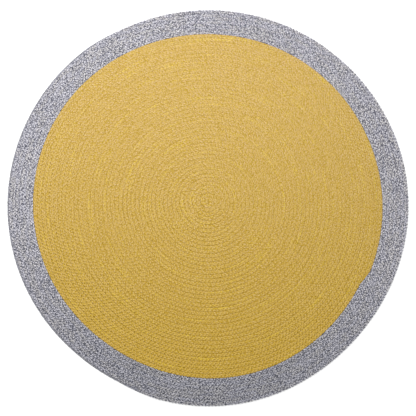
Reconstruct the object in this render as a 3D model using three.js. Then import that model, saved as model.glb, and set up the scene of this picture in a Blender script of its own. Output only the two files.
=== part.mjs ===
// A round rug of laced wool braid: a mustard coil from the eye outwards and a grey coil round it.
// Millimetres, +Z up, the origin on the floor under the rug's middle, +Y towards the rug's top edge.
// Both braids wind outwards clockwise as seen from above, and the row ribs are their turns.
import * as THREE from "three";
import { mergeVertices } from "three/addons/utils/BufferGeometryUtils.js";

// Driving dimensions
const RUG_RADIUS = 1000; // mean, out to the grey rim
const SPLICE_ANGLE = 333; // degrees anticlockwise from +X, where mustard ends and grey begins
const SEGMENTS = 64; // columns in one turn
const SEAM_GAP = 0.3; // between the two coils
const RIM_SIDE = { height: 4.5, undercut: 2.5 }; // widest level of the rounded rim, and its foot

const MUSTARD = {
  pitch: 20.25, // width of one row
  turns: 43.5,
  crest: 10, // height of a row's middle
  valley: 6.5, // height between two rows
};
const GREY = { pitch: 17.1, rows: 8, crest: 9.5, valley: 6 };

// Width of the last grey row, as a share of a full one, at degrees clockwise past the splice
const GREY_END = [
  { past: 0, share: 1 },
  { past: 78, share: 1 },
  { past: 90, share: 0.45 },
  { past: 206, share: 0.45 },
  { past: 218, share: 0 },
  { past: 360, share: 0 },
];

// The rug lies a little out of round: where the rows' own centre is, at the radius of a row
const CENTRE_DRIFT = [
  { radius: 0, x: 1, y: 33.7 },
  { radius: 870, x: -3.8, y: 7.9 },
  { radius: 1000, x: -1.2, y: 7.6 },
];

// and how far its rows swing in and out, with the direction of one outward swing in degrees
const SWINGS = [
  { waves: 2, edge: 6.5, edgeAt: -26, rim: 6.6, rimAt: 0 },
  { waves: 3, edge: 4.1, edgeAt: 44, rim: 2.6, rimAt: 32 },
  { waves: 4, edge: 1.0, edgeAt: 11, rim: 2.4, rimAt: 8 },
  { waves: 5, edge: 1.2, edgeAt: -9, rim: 1.2, rimAt: -7 },
];

const mustardRadius = MUSTARD.pitch * MUSTARD.turns;
const borderStart = mustardRadius - MUSTARD.pitch;
const fieldRadius = mustardRadius - MUSTARD.pitch / 2; // mean, at the change of colour
const greyRowsMean = GREY.rows - 1 + meanShare(GREY_END);
const greyStart = RUG_RADIUS - (greyRowsMean + 0.5) * GREY.pitch;

// Value of one column of a table between two of its rows
function between(table, key, at, column) {
  const i = table.findIndex((row) => row[key] >= at);
  if (i < 0) return table[table.length - 1][column];
  if (i === 0) return table[0][column];
  const [low, high] = [table[i - 1], table[i]];
  const t = (at - low[key]) / (high[key] - low[key]);
  return THREE.MathUtils.lerp(low[column], high[column], t);
}

function meanShare(table) {
  let sum = 0;
  for (let i = 1; i < table.length; i++) {
    const step = table[i].past - table[i - 1].past;
    sum += (step * (table[i].share + table[i - 1].share)) / 2;
  }
  return sum / 360;
}

// Radius where mustard meets grey, a share of a turn clockwise past the splice.
// It climbs by one row in a turn, and the mustard braid's end tapers off over the last column.
function seamRadius(turn) {
  return borderStart + MUSTARD.pitch * Math.min(turn, (1 - turn) * SEGMENTS);
}

function rimRadius(turn) {
  const lastRow = between(GREY_END, "past", turn * 360, "share");
  return greyStart + GREY.pitch * (turn + GREY.rows - 1 + lastRow);
}

// Swing of a row at this radius and angle, growing from the eye to the field's edge and then
// changing over to the rim's own
function swing(radius, angle) {
  const toRim = THREE.MathUtils.clamp((radius - fieldRadius) / (RUG_RADIUS - fieldRadius), 0, 1);
  const grown = Math.min(radius / fieldRadius, 1);
  let sum = 0;
  for (const s of SWINGS) {
    const edge = Math.cos(s.waves * (angle - THREE.MathUtils.degToRad(s.edgeAt)));
    const rim = Math.cos(s.waves * (angle - THREE.MathUtils.degToRad(s.rimAt)));
    sum += grown * THREE.MathUtils.lerp(s.edge * edge, s.rim * rim, toRim);
  }
  return sum;
}

// Point of the rug at an even radius, a share of a turn clockwise past the splice
function place(radius, turn, height) {
  const angle = THREE.MathUtils.degToRad(SPLICE_ANGLE) - turn * 2 * Math.PI;
  const x = between(CENTRE_DRIFT, "radius", radius, "x");
  const y = between(CENTRE_DRIFT, "radius", radius, "y");
  const r = radius + swing(radius, angle);
  return new THREE.Vector3(x + r * Math.cos(angle), y + r * Math.sin(angle), height);
}

// Top of a coil along one column, from its inner edge out: edge, crest, edge, crest and so on.
// A row that runs out, at a braid's start or end, narrows and sinks into its neighbour's edge.
function ribs(coil, turn) {
  const inner = coil.inner(turn);
  const outer = coil.outer(turn);
  const points = [{ radius: inner, height: coil.valley }];
  for (let row = 0; row <= coil.rows; row++) {
    const last = points[points.length - 1];
    const radius = THREE.MathUtils.clamp(coil.edgeAfter(row + turn), inner, outer);
    const height = radius >= outer ? coil.outerHeight : coil.valley;
    const full = Math.min(1, (2 * (radius - last.radius)) / coil.pitch);
    const crest = THREE.MathUtils.lerp((last.height + height) / 2, coil.crest, full);
    points.push({ radius: (last.radius + radius) / 2, height: crest }, { radius, height });
  }
  return points;
}

// Closed section of a coil along one column: up the inner wall, out over the ribs, down to the foot
function section(coil, turn) {
  const start = { radius: coil.inner(turn), height: 0 };
  const foot = { radius: coil.outer(turn) - coil.undercut, height: 0 };
  return [start, ...ribs(coil, turn), foot, start];
}

// A lathe's ring of columns, moved point by point onto the coil. Its last column, one whole turn on,
// lands on the first one's next row, so the ribs run round as one spiral.
function coilGeometry(coil) {
  const outline = section(coil, 0).map((p) => new THREE.Vector2(p.radius, p.height));
  const geometry = new THREE.LatheGeometry(outline, SEGMENTS);
  const position = geometry.getAttribute("position");
  for (let column = 0; column <= SEGMENTS; column++) {
    const turn = column / SEGMENTS;
    section(coil, turn).forEach((p, i) => {
      const spot = place(p.radius, turn, p.height);
      position.setXYZ(column * outline.length + i, spot.x, spot.y, spot.z);
    });
  }
  return closedBody(geometry);
}

// Merges the points that meet and drops the triangles that closed up where rows run out
function closedBody(geometry) {
  geometry.deleteAttribute("normal");
  geometry.deleteAttribute("uv");
  const merged = mergeVertices(geometry, 1e-3);
  const index = Array.from(merged.index.array);
  const kept = [];
  for (let i = 0; i < index.length; i += 3) {
    const [a, b, c] = index.slice(i, i + 3);
    if (a !== b && b !== c && c !== a) kept.push(a, b, c);
  }
  merged.setIndex(kept);
  const faceted = merged.toNonIndexed();
  faceted.computeVertexNormals();
  return faceted;
}

function wool(colour) {
  return new THREE.MeshStandardMaterial({ color: colour, roughness: 0.95, metalness: 0 });
}

function mustardField() {
  const coil = {
    ...MUSTARD,
    rows: Math.floor(MUSTARD.turns),
    edgeAfter: (turns) => (turns < 1 ? 0 : MUSTARD.pitch * (turns - 0.5)),
    inner: () => 0,
    outer: (turn) => seamRadius(turn) - SEAM_GAP / 2,
    outerHeight: MUSTARD.valley,
    undercut: 0,
  };
  const mesh = new THREE.Mesh(coilGeometry(coil), wool(0xcba544));
  mesh.name = "mustard_field";
  return mesh;
}

function greyBorder() {
  const coil = {
    ...GREY,
    edgeAfter: (turns) => (turns < 1 ? 0 : greyStart + GREY.pitch * turns),
    inner: (turn) => seamRadius(turn) + SEAM_GAP / 2,
    outer: rimRadius,
    outerHeight: RIM_SIDE.height,
    undercut: RIM_SIDE.undercut,
  };
  const mesh = new THREE.Mesh(coilGeometry(coil), wool(0x9d9ca8));
  mesh.name = "grey_border";
  return mesh;
}

const rug = new THREE.Group();
rug.name = "braided_rug";
rug.add(mustardField(), greyBorder());

export default rug;
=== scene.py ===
import math

import bmesh
import bpy
import numpy as np
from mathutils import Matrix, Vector


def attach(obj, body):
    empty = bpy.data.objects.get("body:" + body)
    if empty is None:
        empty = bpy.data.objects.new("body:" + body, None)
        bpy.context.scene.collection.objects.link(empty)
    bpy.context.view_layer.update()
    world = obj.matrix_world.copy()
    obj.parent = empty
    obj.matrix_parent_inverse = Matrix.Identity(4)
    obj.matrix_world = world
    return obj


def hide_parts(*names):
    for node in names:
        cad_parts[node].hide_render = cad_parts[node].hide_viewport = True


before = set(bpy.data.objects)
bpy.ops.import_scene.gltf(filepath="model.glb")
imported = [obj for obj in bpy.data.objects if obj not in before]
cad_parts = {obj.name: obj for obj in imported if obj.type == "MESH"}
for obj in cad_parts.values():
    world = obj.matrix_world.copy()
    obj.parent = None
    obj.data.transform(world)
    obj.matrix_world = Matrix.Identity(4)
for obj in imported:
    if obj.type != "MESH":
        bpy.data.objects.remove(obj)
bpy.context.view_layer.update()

# A round rug wound from one spiral of three-strand wool braid: mustard from the eye outwards, then grey.
# Sizes are in metres. Both braids wind outwards clockwise as seen from above. A place on the spiral is
# "wound", the turns clockwise from the splice, where the mustard braid ends and the grey one begins.

# Sizes of the rug. The mustard braid's end tapers off over a share of a turn.
RUG_RADIUS = 1.0
SPLICE_ANGLE = math.radians(333)
SPLICE_TAPER = 1 / 64
MUSTARD_PITCH = 0.02025
MUSTARD_TURNS = 43.5
GREY_PITCH = 0.0171
GREY_ROWS = 8

# Width of the last grey row, as a share of a full one, at degrees clockwise past the splice
GREY_END_PAST = (0, 78, 90, 206, 218, 360)
GREY_END_SHARE = (1, 1, 0.45, 0.45, 0, 0)

# The rug lies a little out of round: where the rows' own centre is, at the radius of a row
DRIFT_RADIUS = (0, 0.870, 1.0)
DRIFT_X = (0.0010, -0.0038, -0.0012)
DRIFT_Y = (0.0337, 0.0079, 0.0076)

# and how far its rows swing in and out, with the direction of one outward swing in degrees
SWINGS = (
    {"waves": 2, "edge": 0.0065, "edge_at": -26, "rim": 0.0066, "rim_at": 0},
    {"waves": 3, "edge": 0.0041, "edge_at": 44, "rim": 0.0026, "rim_at": 32},
    {"waves": 4, "edge": 0.0010, "edge_at": 11, "rim": 0.0024, "rim_at": 8},
    {"waves": 5, "edge": 0.0012, "edge_at": -9, "rim": 0.0012, "rim_at": -7},
)

# Radii in an even rug: where the border begins at the splice, and the mean one of the mustard field
BORDER_START = MUSTARD_PITCH * (MUSTARD_TURNS - 1)
FIELD_RADIUS = MUSTARD_PITCH * (MUSTARD_TURNS - 0.5)

# The braids. A period is one strand's way from the braid's middle over to both edges and back. The
# strands are flattened rolls of spun wool, so many wide and high, which rise and sink by "rise". The
# braid is wider than its row by "overlap". Its way is worked out at so many stations.
MUSTARD_BRAID = {
    "pitch": MUSTARD_PITCH,
    "period": 0.0567,
    "wide": 0.0100,
    "high": 0.0053,
    "rise": 0.0017,
    "overlap": 0.0026,
    "stations": 16000,
}
GREY_BRAID = {
    "pitch": GREY_PITCH,
    "period": 0.0500,
    "wide": 0.0080,
    "high": 0.0048,
    "rise": 0.0024,
    "overlap": 0.0018,
    "stations": 6000,
}

# Where a row runs out, the least share of its strands' size and of its period
LEAST_FULL = 0.02
LEAST_PERIOD = 0.4

# Strands in a braid, sides of a strand's section, and steps along it in a period
STRANDS = 3
SIDES = 6
STEPS = 8

# A strand is highest at this phase and half a period on. There and at its lowest it is plumper than in
# between, by a share of its size.
HIGHEST = math.pi / 4
PLUMP = 0.06

# How unevenly the strands are laced: sideways and up, and as a share of their size
UNEVEN_ACROSS = 0.00025
UNEVEN_UP = 0.00012
UNEVEN_SIZE = 0.03
LACING_SEED = 7

# Rows roll as they are laced: their crossings shift inwards by SKEW and their outer sides rise by ROLL.
# In the mustard this grows from the eye to the field's edge, and the grey has a share of it.
SKEW = 0.0021
ROLL = 0.0004
GREY_ROLLED = 0.8

MERGE_DISTANCE = 1e-6

# On the map for baking, a strip's free margin as a share of it, and the caps' place and radius
STRIP_MARGIN = 0.05
CAP_PLACE = 0.02
CAP_RADIUS = 0.4

# The laced wool between the rows
GROUND_Z = 0.0018
GROUND_THICKNESS = 0.0020
GROUND_INSET = 0.006
GROUND_SEGMENTS = 256
GROUND_RINGS = 6


def new_object(name, data):
    made = bpy.data.objects.new(name, data)
    bpy.context.scene.collection.objects.link(made)
    return made


def new_mesh(name, shaped):
    mesh = bpy.data.meshes.new(name)
    shaped.to_mesh(mesh)
    shaped.free()
    return mesh


# The spiral


def grey_start():
    past = np.array(GREY_END_PAST)
    share = np.array(GREY_END_SHARE)
    last_row = np.sum(np.diff(past) * (share[1:] + share[:-1]) / 2) / 360
    return RUG_RADIUS - (GREY_ROWS - 0.5 + last_row) * GREY_PITCH


GREY_START = grey_start()


def seam_radius(turn):
    """Where mustard meets grey: it climbs by one row in a turn, and the mustard end tapers off."""
    return BORDER_START + MUSTARD_PITCH * np.minimum(turn, (1 - turn) / SPLICE_TAPER)


def rim_radius(turn):
    last_row = np.interp(turn * 360, GREY_END_PAST, GREY_END_SHARE)
    return GREY_START + GREY_PITCH * (turn + GREY_ROWS - 1 + last_row)


def place(radius, wound):
    """Where a point of the rug lies, from its radius in an even rug and its turns past the splice."""
    angle = SPLICE_ANGLE - 2 * math.pi * wound
    away = np.abs(radius)
    to_rim = np.clip((away - FIELD_RADIUS) / (RUG_RADIUS - FIELD_RADIUS), 0, 1)
    grown = np.minimum(away / FIELD_RADIUS, 1)
    for s in SWINGS:
        edge = s["edge"] * np.cos(s["waves"] * (angle - math.radians(s["edge_at"])))
        rim = s["rim"] * np.cos(s["waves"] * (angle - math.radians(s["rim_at"])))
        radius = radius + grown * (edge + (rim - edge) * to_rim)
    x = np.interp(away, DRIFT_RADIUS, DRIFT_X) + radius * np.cos(angle)
    y = np.interp(away, DRIFT_RADIUS, DRIFT_Y) + radius * np.sin(angle)
    return x, y


def winding(wound, inner, outer, rolled, braid):
    """A braid's way along the spiral: its edges, how full and how rolled it is, and its phase."""
    full = np.clip((outer - inner) / braid["pitch"], LEAST_FULL, 1)
    x, y = place((inner + outer) / 2, wound)
    step = np.hypot(np.diff(x), np.diff(y))
    period = braid["period"] * np.maximum(full, LEAST_PERIOD)
    phase = np.concatenate(([0], np.cumsum(step / period[1:]))) * 2 * math.pi
    way = {"wound": wound, "inner": inner, "outer": outer, "full": full, "rolled": rolled, "phase": phase}
    return {**way, **braid}


def mustard_winding():
    """From the eye, where the row's middle starts, to the end of the taper."""
    last = MUSTARD_TURNS + 0.5
    wound = np.linspace(1, last, MUSTARD_BRAID["stations"])
    inner = MUSTARD_PITCH * (wound - 1.5)
    tapered = BORDER_START + MUSTARD_PITCH * (last - wound) / SPLICE_TAPER
    outer = np.minimum(inner + MUSTARD_PITCH, tapered)
    rolled = (inner + outer) / 2 / FIELD_RADIUS
    return winding(wound, inner, outer, rolled, MUSTARD_BRAID)


def grey_winding():
    """From beside the mustard's taper to where the last row has narrowed to nothing."""
    last_turn = GREY_ROWS - 1
    row_end = last_turn + GREY_END_PAST[-2] / 360
    wound = np.linspace(-SPLICE_TAPER, row_end, GREY_BRAID["stations"])
    on_mustard = BORDER_START + MUSTARD_PITCH * np.maximum(wound, -wound / SPLICE_TAPER)
    inner = np.where(wound < 1, on_mustard, GREY_START + GREY_PITCH * wound)
    share = np.interp((wound - last_turn) * 360, GREY_END_PAST, GREY_END_SHARE)
    outer = GREY_START + GREY_PITCH * (wound + 1)
    outer = np.where(wound > last_turn, inner + GREY_PITCH * share, outer)
    return winding(wound, inner, outer, np.full_like(wound, GREY_ROLLED), GREY_BRAID)


# The strands


def strand_points(way, number, random):
    """Points along one strand, its size there, and how far they lie along and across the row."""
    ahead = 2 * math.pi * number / STRANDS
    step = 2 * math.pi / STEPS
    last = way["phase"][-1]
    phase = np.arange(math.ceil(ahead / step), math.floor((last + ahead) / step) + 1) * step
    count = len(phase)

    def here(name):
        return np.interp(phase - ahead, way["phase"], way[name])

    inner, outer, full, rolled = here("inner"), here("outer"), here("full"), here("rolled")
    reach = (outer - inner + way["overlap"] - way["wide"] * full) / 2
    across = reach * np.sin(phase) - SKEW * rolled * (1 + np.cos(2 * phase))
    across += random.normal(0, UNEVEN_ACROSS, count)
    plump = 1 - PLUMP / 2 + PLUMP * np.abs(np.sin(2 * phase))
    size = full * (plump + random.normal(0, UNEVEN_SIZE, count))
    height = full * (way["rise"] * (1 + np.sin(2 * phase)) + way["high"] / 2)
    height += ROLL * rolled * (np.sin(phase) - math.sin(HIGHEST))
    height = np.maximum(height + random.normal(0, UNEVEN_UP, count), way["high"] * size / 2)
    x, y = place((inner + outer) / 2 + across, here("wound"))
    along_row = (phase - ahead) * way["period"] / (2 * math.pi)
    return np.column_stack((x, y, height)), size, along_row, across


def section(name, wide, high):
    """A strand's section, a flattened round that starts at its lowest corner."""
    curve = bpy.data.curves.new(name, "CURVE")
    spline = curve.splines.new("POLY")
    spline.points.add(SIDES - 1)
    for i, point in enumerate(spline.points):
        angle = -math.pi / 2 - 2 * math.pi * i / SIDES
        across = wide / 2 * math.cos(angle) / math.cos(math.pi / SIDES)
        point.co = (across, high / 2 * math.sin(angle), 0, 1)
    spline.use_cyclic_u = True
    return new_object(name, curve)


def sweep(name, points, size, shape):
    """A closed tube with this section along the points."""
    curve = bpy.data.curves.new(name, "CURVE")
    curve.dimensions = "3D"
    curve.twist_mode = "Z_UP"
    curve.bevel_mode = "OBJECT"
    curve.bevel_object = shape
    curve.use_fill_caps = True
    spline = curve.splines.new("POLY")
    spline.points.add(len(points) - 1)
    spline.points.foreach_set("co", np.column_stack((points, np.ones(len(points)))).ravel())
    spline.points.foreach_set("radius", size)
    path = new_object(name + "_path", curve)
    bpy.context.view_layer.update()
    mesh = bpy.data.meshes.new_from_object(path.evaluated_get(bpy.context.evaluated_depsgraph_get()))
    mesh.name = name
    bpy.data.objects.remove(path)
    bpy.data.curves.remove(curve)
    return mesh


def unroll(mesh, points, along_row, across, girth):
    """Lays three maps on a swept tube: "yarn", with metres along it and a share of the way round it,
    "row", with metres along its row and outwards across it, and "OFBake", with its skin cut into
    strips that fill a square."""
    vertex = np.empty(len(mesh.loops), int)
    mesh.loops.foreach_get("vertex_index", vertex)
    face_of = np.repeat(np.arange(len(mesh.polygons)), [p.loop_total for p in mesh.polygons])

    # The caps' points come first, the start's before the end's, and then the tube's, ring by ring
    caps = len(mesh.vertices) - SIDES * len(points)
    ring, side = np.divmod(vertex - caps, SIDES)
    on_cap = vertex < caps
    ring[on_cap] = np.where(vertex[on_cap] < caps / 2, 0, len(points) - 1)
    side[on_cap] = vertex[on_cap] % SIDES

    # A face of the last side ends at one whole turn, not back at the first corner
    last_side = np.zeros(len(mesh.polygons), bool)
    np.logical_or.at(last_side, face_of, side == SIDES - 1)
    side = np.where(last_side[face_of] & (side == 0) & ~on_cap, SIDES, side)
    first_ring = np.full(len(mesh.polygons), len(points))
    np.minimum.at(first_ring, face_of, ring)

    along = np.concatenate(([0], np.cumsum(np.linalg.norm(np.diff(points, axis=0), axis=1))))
    strips = round(math.sqrt(along[-1] / girth))
    rings = math.ceil((len(points) - 1) / strips)
    strip = np.minimum(first_ring[face_of], len(points) - 2) // rings
    strip_u = (ring - strip * rings) / rings
    strip_v = (strip + STRIP_MARGIN + (1 - 2 * STRIP_MARGIN) * side / SIDES) / (strips + 1)
    turn = 2 * math.pi * side / SIDES
    cap_u = CAP_PLACE * (1 + ring / len(points)) + CAP_RADIUS / strips * np.cos(turn)
    cap_v = (strips + 0.5 + CAP_RADIUS * np.sin(turn)) / (strips + 1)

    spot = np.empty(3 * len(mesh.vertices))
    mesh.vertices.foreach_get("co", spot)
    off = spot.reshape(-1, 3)[vertex, :2] - points[ring, :2]
    out = points[ring, :2] / np.linalg.norm(points[ring, :2], axis=1)[:, None]
    outwards = np.sum(off * out, axis=1)
    clockwise = off[:, 0] * out[:, 1] - off[:, 1] * out[:, 0]
    maps = {
        "yarn": (along[ring], side / SIDES),
        "row": (along_row[ring] + clockwise, across[ring] + outwards),
        "OFBake": (np.where(on_cap, cap_u, strip_u), np.where(on_cap, cap_v, strip_v)),
    }
    while mesh.uv_layers:
        mesh.uv_layers.remove(mesh.uv_layers[0])
    for name, columns in maps.items():
        layer = mesh.uv_layers.new(name=name)
        layer.uv.foreach_set("vector", np.column_stack(columns).astype(np.float32).ravel())


def strand(name, way, number, shape, wool, random):
    points, size, along_row, across = strand_points(way, number, random)
    mesh = sweep(name, points, size, shape)
    unroll(mesh, points, along_row, across, math.pi * (way["wide"] + way["high"]) / 2)
    mesh.materials.clear()
    mesh.materials.append(wool)
    shaped = bmesh.new()
    shaped.from_mesh(mesh)
    bmesh.ops.remove_doubles(shaped, verts=shaped.verts, dist=MERGE_DISTANCE)
    for face in shaped.faces:
        face.smooth = True
        face.material_index = 0
    shaped.to_mesh(mesh)
    shaped.free()
    return new_object(name, mesh)


def braid(name, way, wools, random):
    """The three strands of one braid, interlaced, each of its own wool."""
    shape = section(name + "_section", way["wide"], way["high"])
    strands = []
    for i, wool in enumerate(wools):
        strands.append(strand(f"{name}_strand_{i + 1}", way, i, shape, wool, random))
    bpy.data.objects.remove(shape)
    return strands


# The laced wool between the rows


def lay(ring, radius, turns):
    for vert, x, y in zip(ring, *place(radius, turns)):
        vert.co = (x, y, 0)


def grow(shaped, ring):
    """Extrudes a ring of points, and gives the new ring in the same order."""
    edges = [shaped.edges.get((ring[i - 1], ring[i])) for i in range(len(ring))]
    grown = bmesh.ops.extrude_edge_only(shaped, edges=edges)["geom"]
    old = set(ring)
    beside = {}
    for vert in grown:
        if isinstance(vert, bmesh.types.BMVert):
            others = {edge.other_vert(vert) for edge in vert.link_edges}
            beside[(others & old).pop()] = vert
    return [beside[vert] for vert in ring]


def ground(name, felts):
    """One thin sheet under the rows' tops, mustard inside the seam and grey outside it."""
    shaped = bmesh.new()
    bmesh.ops.create_circle(shaped, cap_ends=True, cap_tris=True, segments=GROUND_SEGMENTS, radius=1)
    centre = max(shaped.verts, key=lambda vert: len(vert.link_edges))
    ring = [vert for vert in shaped.verts if vert is not centre]
    ring.sort(key=lambda vert: -math.atan2(vert.co.y, vert.co.x))
    turns = np.arange(GROUND_SEGMENTS) / GROUND_SEGMENTS
    centre.co = (*place(0.0, 0.0), 0)
    lay(ring, seam_radius(turns) / GROUND_RINGS, turns)
    for i in range(1, GROUND_RINGS):
        ring = grow(shaped, ring)
        lay(ring, seam_radius(turns) * (i + 1) / GROUND_RINGS, turns)
    ring = grow(shaped, ring)
    lay(ring, rim_radius(turns) - GROUND_INSET, turns)
    for vert in ring:
        for face in vert.link_faces:
            face.material_index = 1

    bmesh.ops.recalc_face_normals(shaped, faces=shaped.faces)
    bmesh.ops.solidify(shaped, geom=shaped.faces[:], thickness=GROUND_THICKNESS)
    bmesh.ops.recalc_face_normals(shaped, faces=shaped.faces)
    low = min(vert.co.z for vert in shaped.verts)
    bmesh.ops.translate(shaped, verts=shaped.verts, vec=(0, 0, GROUND_Z - low))
    mesh = new_mesh(name, shaped)
    for felt in felts:
        mesh.materials.append(felt)
    return new_object(name, mesh)


# Materials


MUSTARD = (0.513, 0.339, 0.054, 1)
OLIVE = (0.379, 0.235, 0.012, 1)
BEIGE = (0.560, 0.388, 0.121, 1)
YELLOW = (0.615, 0.430, 0.045, 1)

OFF_WHITE = (0.497, 0.487, 0.523, 1)
MID_GREY = (0.367, 0.367, 0.409, 1)
SLATE = (0.058, 0.062, 0.084, 1)
WARM_GREY = (0.378, 0.368, 0.366, 1)

WHITE = (1, 1, 1, 1)

# A braid's spun wool. A fleck's and a dye lot's sizes and the plies' twist are in metres. The tints
# multiply the wool: painted shade down in the grooves, and painted light that grows towards the rug's +Y
# edge, with a painted sheen in the mustard's blue; it begins and ends at two distances along Y.
MUSTARD_LOOK = {
    "Base": MUSTARD,
    "Light Wool": BEIGE,
    "Dark Wool": OLIVE,
    "Dye Lot": YELLOW,
    "Dye Lot Share": 0.05,
    "Lot Length": 0.22,
    "Lot Width": 0.006,
    "Fleck Length": 0.009,
    "Fleck Width": 0.005,
    "Twist": 0.045,
    # Painted shade, darker and deeper down in the grooves
    "Painted Groove Shade": (0.97, 0.95, 0.74, 1),
    # Painted light and sheen, growing towards the rug's +Y edge
    "Painted Light Tint": (1.13, 1.18, 2.2, 1),
    "Painted Light From": -1.2,
    "Painted Light To": 1.0,
}
GREY_LOOK = {
    "Base": MID_GREY,
    "Light Wool": OFF_WHITE,
    "Dark Wool": SLATE,
    "Dye Lot": WARM_GREY,
    "Dye Lot Share": 0.45,
    "Lot Length": 0.08,
    "Lot Width": 0.03,
    "Fleck Length": 0.0085,
    "Fleck Width": 0.0045,
    "Twist": 0.2,
    # Painted shade, darker and bluer down in the grooves
    "Painted Groove Shade": (0.74, 0.75, 0.79, 1),
    # Painted light, growing towards the rug's +Y edge
    "Painted Light Tint": (1.40, 1.38, 1.36, 1),
    "Painted Light From": -1.1,
    "Painted Light To": 0.0,
}

# Shares of light and of dark wool in a braid's three strands
MUSTARD_FLECKS = ((0.35, 0.3), (0.35, 0.3), (0.35, 0.3))
GREY_FLECKS = ((0.40, 0.32), (0.36, 0.37), (0.32, 0.43))

# Flecks lie slanted in their row, a dark one beside each light one, so many fleck widths away. Their
# seeds are whole numbers, which keeps the noise free of broad blotches.
SLANT = math.radians(38)
BESIDE = 1.2
FLECK_SOFTNESS = 0.025
FIRST_SEED = 3.0
SEED_STEP = 20.0
LOT_SOFTNESS = 0.03
LOT_SEED = 3.3

# Noise level at which a wool's share is 0, and how far it falls as the share goes to 1
LEVEL_OF_NONE = 0.66
LEVEL_FALL = 0.36
NOISE_ROUGHNESS = 0.6
FLECK_DETAIL = 1.0
FIBRE_DETAIL = 3.0

# Plies in a strand. A fibre is so many metres long, and its width is a share of a ply.
PLIES = 4
FIBRE_LENGTH = 0.004
FIBRE_WIDTH = 0.12
HAIRS_FROM_TO = (0.3, 0.7)

# Painted shade and light on the plies: brightness between two plies, how much hair on a ply's ridge adds,
# and a hair's height there
PAINTED_HOLLOW_SHADE = 0.8
PAINTED_RIDGE_LIGHT = 0.3
HAIR_HEIGHT = 0.25

# Heights above the floor between which the painted shade in the grooves fades out
PAINTED_SHADE_FROM_TO = (0.0051, 0.0088)

SPECKS_PER_METRE = 260.0
SPECKS_FROM_TO = (0.35, 0.65)

STRAND_RELIEF = 0.0006
FELT_RELIEF = 0.0005
WOOL_ROUGHNESS = 0.9
SPECULAR = 0.1
SHEEN = 0.08
SHEEN_ROUGHNESS = 0.5


def add(tree, kind, inputs=(), **settings):
    """A node with its settings, and its inputs set to values or linked from sockets."""
    node = tree.nodes.new(kind)
    for name, value in settings.items():
        setattr(node, name, value)
    for key, value in dict(inputs).items():
        if isinstance(value, bpy.types.NodeSocket):
            tree.links.new(value, node.inputs[key])
        else:
            node.inputs[key].default_value = value
    return node


def maths(tree, operation, a, b=0.0, c=0.0):
    return add(tree, "ShaderNodeMath", {0: a, 1: b, 2: c}, operation=operation).outputs[0]


def blended(tree, share, a, b):
    """Colour a where share is 0, b where it is 1. A Mix node's colours are inputs 6 and 7, output 2."""
    return add(tree, "ShaderNodeMix", {0: share, 6: a, 7: b}, data_type="RGBA").outputs[2]


def tinted(tree, colour, tint):
    return add(tree, "ShaderNodeVectorMath", {0: colour, 1: tint}, operation="MULTIPLY").outputs[0]


def ramp(tree, value, low, high):
    """0 to 1 as value goes from low to high, smoothly."""
    inputs = {"Value": value, "From Min": low, "From Max": high}
    return add(tree, "ShaderNodeMapRange", inputs, interpolation_type="SMOOTHSTEP").outputs["Result"]


def parts_of(tree, vector):
    return add(tree, "ShaderNodeSeparateXYZ", {0: vector}).outputs


def patches(tree, along, across, length, width, seed, detail):
    """Noise in patches so long and so wide."""
    u = maths(tree, "DIVIDE", along, length)
    v = maths(tree, "DIVIDE", across, width)
    spot = add(tree, "ShaderNodeCombineXYZ", {"X": u, "Y": v, "Z": seed}).outputs[0]
    inputs = {"Vector": spot, "Scale": 1.0, "Detail": detail, "Roughness": NOISE_ROUGHNESS}
    return add(tree, "ShaderNodeTexNoise", inputs).outputs[0]


def share_of(tree, noise, share, softness):
    """A mask that covers about this share of the strand."""
    level = maths(tree, "MULTIPLY_ADD", share, -LEVEL_FALL, LEVEL_OF_NONE)
    low = maths(tree, "SUBTRACT", level, softness)
    return ramp(tree, noise, low, maths(tree, "ADD", level, softness))


def new_group(name, inputs):
    """A shader group with these inputs, each a colour or a number, that gives a colour and a height."""
    tree = bpy.data.node_groups.new(name, "ShaderNodeTree")
    for label, default in inputs.items():
        kind = "NodeSocketColor" if isinstance(default, tuple) else "NodeSocketFloat"
        tree.interface.new_socket(label, in_out="INPUT", socket_type=kind).default_value = default
    tree.interface.new_socket("Color", in_out="OUTPUT", socket_type="NodeSocketColor")
    tree.interface.new_socket("Height", in_out="OUTPUT", socket_type="NodeSocketFloat")
    return tree, add(tree, "NodeGroupInput").outputs


def spun_in(flecks, number):
    """The light and the dark wool spun into one strand, and the seed of its flecks."""
    light, dark = flecks[number]
    return {"Light Share": light, "Dark Share": dark, "Seed": FIRST_SEED + SEED_STEP * number}


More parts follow.
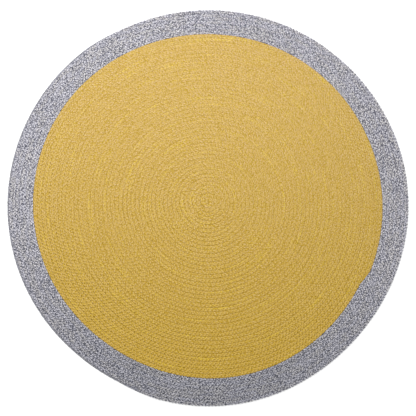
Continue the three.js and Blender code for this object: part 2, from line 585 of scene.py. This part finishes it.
def spun_wool_group():
    """Wool spun into plies and rolled to a strand: a base wool, a lighter and a darker one spun in
    as flecks, lengths of another dye lot, the plies' twist and fine fibres. Painted shade darkens it
    in the grooves and between the plies, and painted light pales it towards the rug's +Y edge."""
    tree, given = new_group("spun_wool", {**GREY_LOOK, **spun_in(GREY_FLECKS, 0)})
    yarn = parts_of(tree, add(tree, "ShaderNodeUVMap", uv_map="yarn").outputs[0])
    turned = maths(tree, "ADD", yarn["Y"], maths(tree, "DIVIDE", yarn["X"], given["Twist"]))
    ply = maths(tree, "MULTIPLY", turned, PLIES)
    ridge = maths(tree, "SINE", maths(tree, "MULTIPLY", maths(tree, "FRACT", ply), math.pi))
    fibres = patches(tree, yarn["X"], ply, FIBRE_LENGTH, FIBRE_WIDTH, given["Seed"], FIBRE_DETAIL)
    hairs = ramp(tree, fibres, *HAIRS_FROM_TO)

    row = add(tree, "ShaderNodeUVMap", uv_map="row").outputs[0]
    level = parts_of(tree, row)
    length, width = given["Lot Length"], given["Lot Width"]
    lot = patches(tree, level["X"], level["Y"], length, width, LOT_SEED, FLECK_DETAIL)
    slant = {"Vector": row, "Angle": SLANT}
    slanted = add(tree, "ShaderNodeVectorRotate", slant, rotation_type="Z_AXIS").outputs[0]
    slanted = parts_of(tree, slanted)
    length, width = given["Fleck Length"], given["Fleck Width"]
    beside = maths(tree, "MULTIPLY_ADD", width, BESIDE, slanted["Y"])
    light = patches(tree, slanted["X"], slanted["Y"], length, width, given["Seed"], FLECK_DETAIL)
    dark = patches(tree, slanted["X"], beside, length, width, given["Seed"], FLECK_DETAIL)

    lots = share_of(tree, lot, given["Dye Lot Share"], LOT_SOFTNESS)
    lights = share_of(tree, light, given["Light Share"], FLECK_SOFTNESS)
    darks = share_of(tree, dark, given["Dark Share"], FLECK_SOFTNESS)
    colour = blended(tree, lots, given["Base"], given["Dye Lot"])
    colour = blended(tree, lights, colour, given["Light Wool"])
    colour = blended(tree, darks, colour, given["Dark Wool"])

    spot = parts_of(tree, add(tree, "ShaderNodeTexCoord").outputs["Object"])
    # Painted shade: the wool is tinted darker down in the grooves, by its height above the floor
    clear_of_painted_shade = ramp(tree, spot["Z"], *PAINTED_SHADE_FROM_TO)
    # Painted light: the wool is tinted lighter and paler towards the rug's +Y edge, where the light falls
    painted_light = ramp(tree, spot["Y"], given["Painted Light From"], given["Painted Light To"])
    colour = tinted(tree, colour, blended(tree, clear_of_painted_shade, given["Painted Groove Shade"], WHITE))
    colour = tinted(tree, colour, blended(tree, painted_light, WHITE, given["Painted Light Tint"]))
    # Painted shade in the hollows between the plies, and painted light on their hairy ridges
    shade = maths(tree, "MULTIPLY_ADD", maths(tree, "MULTIPLY", ridge, hairs), PAINTED_RIDGE_LIGHT, PAINTED_HOLLOW_SHADE)
    colour = add(tree, "ShaderNodeVectorMath", {0: colour, "Scale": shade}, operation="SCALE").outputs[0]
    height = maths(tree, "MULTIPLY_ADD", hairs, HAIR_HEIGHT, ridge)
    add(tree, "NodeGroupOutput", {"Color": colour, "Height": height})
    return tree


def pressed_wool_group():
    """Wool pressed flat, two colours in fine specks."""
    tree, given = new_group("pressed_wool", {"Base": MUSTARD, "Specks": OLIVE})
    spot = add(tree, "ShaderNodeTexCoord").outputs["Object"]
    inputs = {"Vector": spot, "Scale": SPECKS_PER_METRE, "Detail": FIBRE_DETAIL}
    noise = add(tree, "ShaderNodeTexNoise", inputs).outputs[0]
    colour = blended(tree, ramp(tree, noise, *SPECKS_FROM_TO), given["Base"], given["Specks"])
    add(tree, "NodeGroupOutput", {"Color": colour, "Height": noise})
    return tree


def matt(name, roughness):
    """A matt material, and its shader."""
    material = bpy.data.materials.new(name)
    material.use_nodes = True
    shader = material.node_tree.nodes["Principled BSDF"]
    shader.inputs["Roughness"].default_value = roughness
    shader.inputs["Specular IOR Level"].default_value = SPECULAR
    return material, shader


def woollen(name, group, inputs, relief, sheen):
    """A wool whose colour and relief, so many metres deep, come from a group."""
    material, shader = matt(name, WOOL_ROUGHNESS)
    tree = material.node_tree
    look = add(tree, "ShaderNodeGroup", inputs, node_tree=group)
    bump = add(tree, "ShaderNodeBump", {"Height": look.outputs["Height"], "Distance": relief})
    tree.links.new(look.outputs["Color"], shader.inputs["Base Color"])
    tree.links.new(bump.outputs[0], shader.inputs["Normal"])
    shader.inputs["Sheen Weight"].default_value = sheen
    shader.inputs["Sheen Roughness"].default_value = SHEEN_ROUGHNESS
    return material


def wools(colour, spun, look, flecks):
    """The wools of a braid's three strands, alike but for the light and dark wool spun in."""
    made = []
    for i in range(STRANDS):
        inputs = {**look, **spun_in(flecks, i)}
        made.append(woollen(f"{colour}_wool_of_strand_{i + 1}", spun, inputs, STRAND_RELIEF, SHEEN))
    return made


def felted(name, pressed, base, specks):
    """The pressed wool down between the rows, its dark specks both the wool's own dark yarn and painted
    shade in the gaps.
    """
    return woollen(name, pressed, {"Base": base, "Specks": specks}, FELT_RELIEF, sheen=0)


# The studio


FRAME_WIDTH = 2.0906
CAMERA_SPOT = (0.0005, 0.0005)
CAMERA_REACH = 50
LENS = 100
SENSOR = 36
RUG_TOP = 0.008

FLOOR_REACH = 15
FLOOR_COLOUR = (0.9, 0.9, 0.9, 1)
FLOOR_ROUGHNESS = 0.8

WORLD_LIGHT = 0.99
KEY_SPOT = Vector((-0.6, 1.5, 2.2))
KEY_SIZE = 3.0
KEY_POWER = 68


def camera():
    data = bpy.data.cameras.new("camera")
    data.lens = LENS
    data.sensor_width = SENSOR
    data.clip_end = CAMERA_REACH
    eye = new_object("camera", data)
    eye.location = (*CAMERA_SPOT, RUG_TOP + FRAME_WIDTH * LENS / SENSOR)
    bpy.context.scene.camera = eye


def floor():
    shaped = bmesh.new()
    bmesh.ops.create_grid(shaped, x_segments=1, y_segments=1, size=FLOOR_REACH)
    mesh = new_mesh("floor", shaped)
    material, shader = matt("pale_floor", FLOOR_ROUGHNESS)
    shader.inputs["Base Color"].default_value = FLOOR_COLOUR
    mesh.materials.append(material)
    new_object("floor", mesh)


def key_light():
    """A square soft light that faces the rug's middle."""
    data = bpy.data.lights.new("key_light", "AREA")
    data.size = KEY_SIZE
    data.energy = KEY_POWER
    lamp = new_object("key_light", data)
    lamp.location = KEY_SPOT
    lamp.rotation_mode = "QUATERNION"
    lamp.rotation_quaternion = (-KEY_SPOT).to_track_quat("-Z", "Y")


def studio():
    world = bpy.data.worlds.new("studio")
    world.use_nodes = True
    background = world.node_tree.nodes["Background"]
    background.inputs["Color"].default_value = WHITE
    background.inputs["Strength"].default_value = WORLD_LIGHT
    bpy.context.scene.world = world
    bpy.context.scene.view_settings.view_transform = "Standard"
    key_light()


def rug():
    random = np.random.default_rng(LACING_SEED)
    spun = spun_wool_group()
    mustard_wools = wools("mustard", spun, MUSTARD_LOOK, MUSTARD_FLECKS)
    mustard = braid("mustard", mustard_winding(), mustard_wools, random)
    grey_wools = wools("grey", spun, GREY_LOOK, GREY_FLECKS)
    grey = braid("grey", grey_winding(), grey_wools, random)
    pressed = pressed_wool_group()
    # The felts' dark specks are the wool's own dark yarn and also painted shade down in the gaps
    mustard_felt_painted_shade = felted("mustard_felt_painted_shade", pressed, MUSTARD, OLIVE)
    grey_felt_painted_shade = felted("grey_felt_painted_shade", pressed, MID_GREY, SLATE)
    felt = ground("laced_ground", [mustard_felt_painted_shade, grey_felt_painted_shade])
    for piece in mustard:
        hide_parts("mustard_field")
    for piece in grey:
        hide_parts("grey_border")
    for piece in [*mustard, *grey, felt]:
        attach(piece, "root")


camera()
floor()
studio()
rug()
